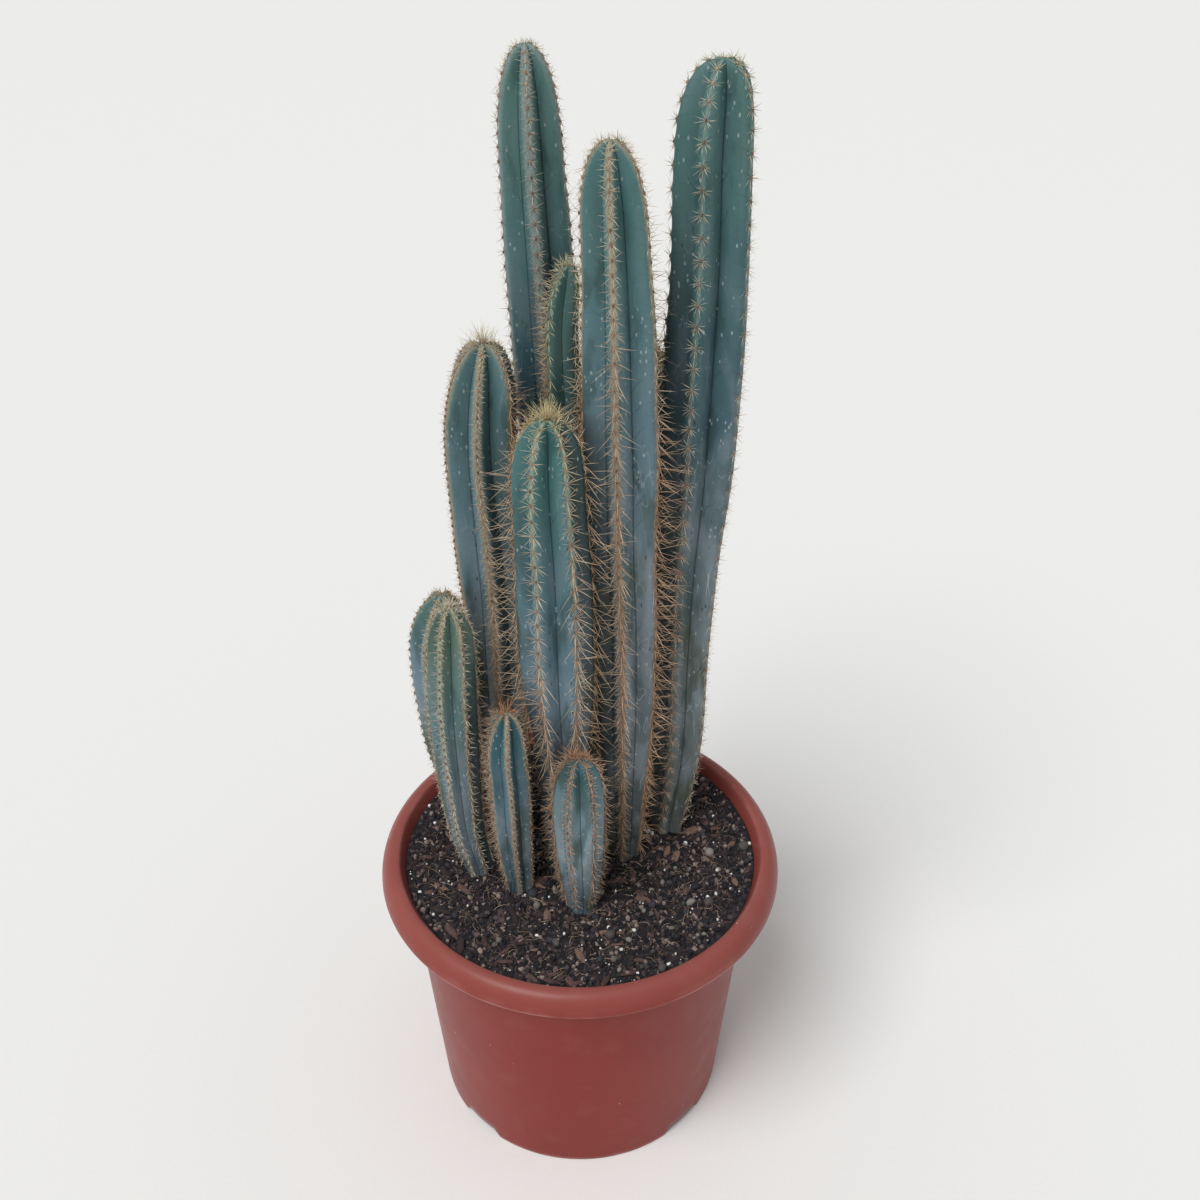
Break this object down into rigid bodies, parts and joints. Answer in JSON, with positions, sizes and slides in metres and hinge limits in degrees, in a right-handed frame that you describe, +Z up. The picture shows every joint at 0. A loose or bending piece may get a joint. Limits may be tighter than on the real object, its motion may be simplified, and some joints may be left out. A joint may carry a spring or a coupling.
{
  "type": "potted tall cactus",
  "caption": "A clump of tall ribbed columnar cactus stems with short spines along their ribs, standing in the soil of a round terracotta-coloured plastic nursery pot.",
  "frame": {"origin": "the middle of the pot's foot, on the surface that the pot stands on", "axes": "+Z up, along the stems; -Y towards the side seen in the picture; +X to the right of that view"},
  "size_m": [0.3, 0.3, 0.8015],
  "materials": {
    "pot_plastic": "satin",
    "soil_mix": "matte",
    "cactus_skin_teal": "matte",
    "cactus_skin_green": "matte",
    "cactus_skin_grey": "matte",
    "spines": "satin",
    "areole_felt": "matte",
    "perlite": "matte",
    "grit": "matte"
  },
  "bodies": {
    "root": {"pot": "pot_plastic", "soil": "soil_mix", "stem_tall_right": "cactus_skin_teal", "stem_tall_middle": "cactus_skin_teal", "stem_tall_left": "cactus_skin_teal", "stem_slim_middle": "cactus_skin_green", "stem_hidden_back": "cactus_skin_green", "stem_left": "cactus_skin_green", "stem_front": "cactus_skin_teal", "stem_short_left_front": "cactus_skin_grey", "stem_short_left_back": "cactus_skin_grey", "stem_small_front_left": "cactus_skin_grey", "stem_small_front": "cactus_skin_teal"}
  },
  "joints": []
}
